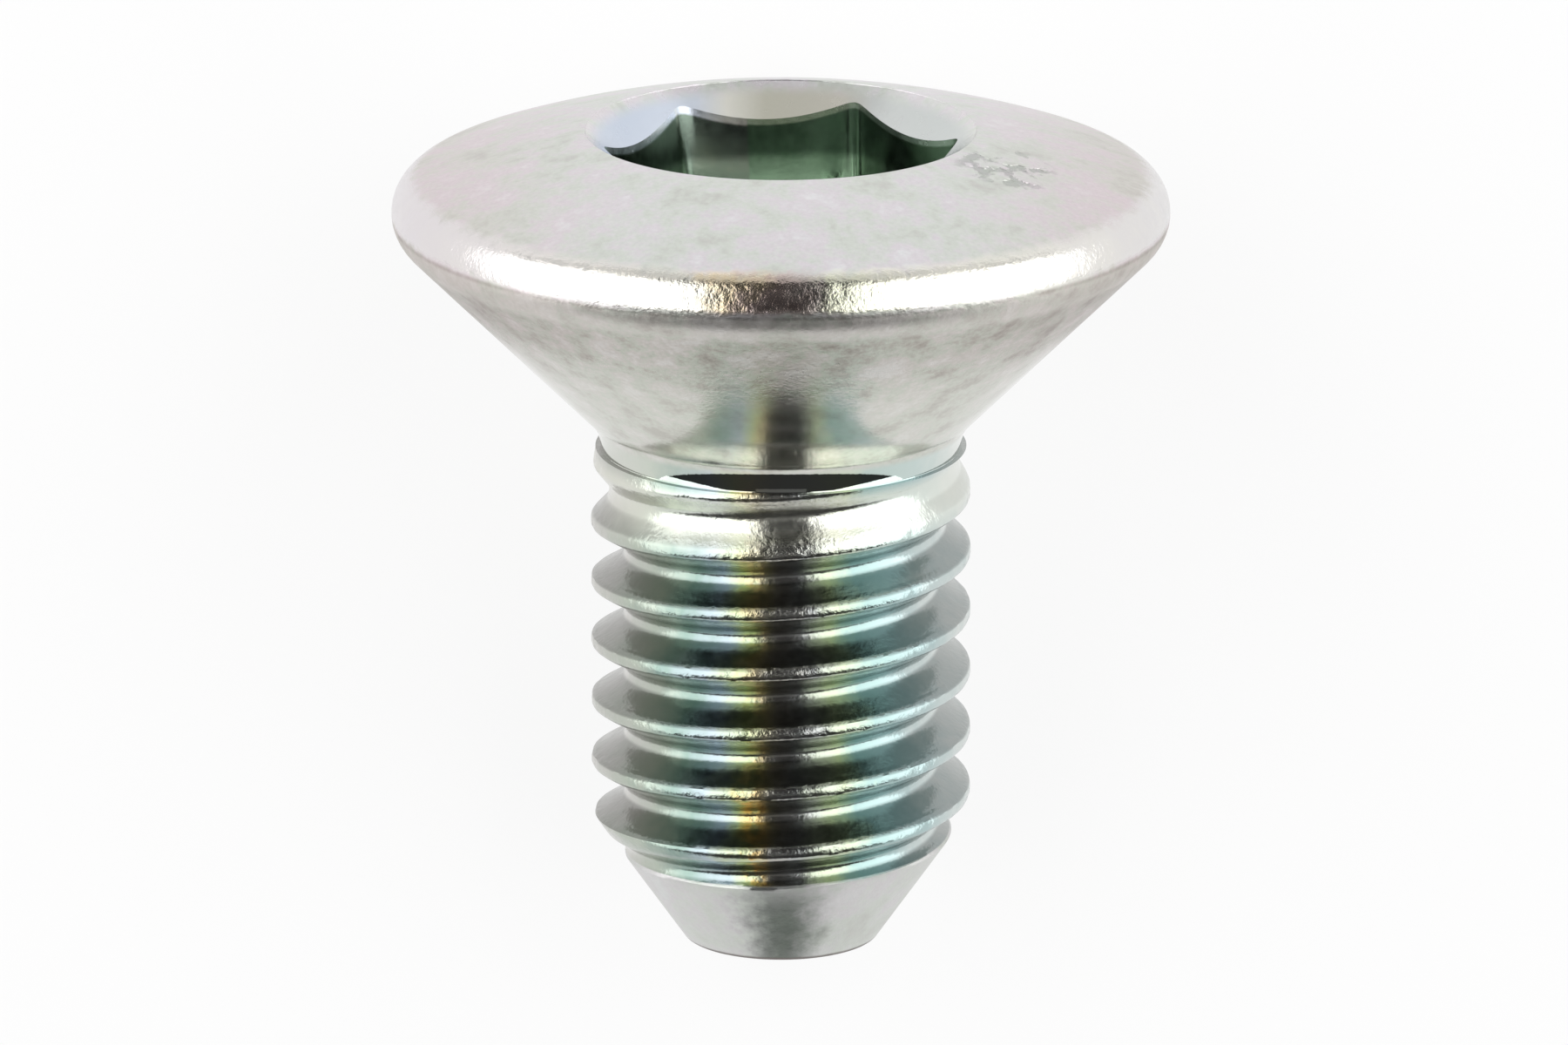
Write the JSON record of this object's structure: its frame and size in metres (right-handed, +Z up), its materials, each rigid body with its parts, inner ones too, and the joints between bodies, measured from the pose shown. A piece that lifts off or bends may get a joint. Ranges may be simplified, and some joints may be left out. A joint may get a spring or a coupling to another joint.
{
  "type": "raised countersunk socket screw",
  "caption": "Short raised countersunk machine screw with a hexagon socket, a threaded shank and a pointed end, lying on its side.",
  "frame": {"origin": "on the floor under the middle of the lying screw's box", "axes": "+Z up, +Y along the floor from the point towards the head; the screw's axis lies in the YZ plane and tips up 18.00 degrees towards the head"},
  "size_m": [0.01, 0.0116, 0.0096],
  "materials": {
    "zinc_plated_steel": "zinc plated, satin on the forged head and bright on the rolled thread"
  },
  "bodies": {
    "root": {"socket_screw": "zinc_plated_steel"}
  },
  "joints": []
}
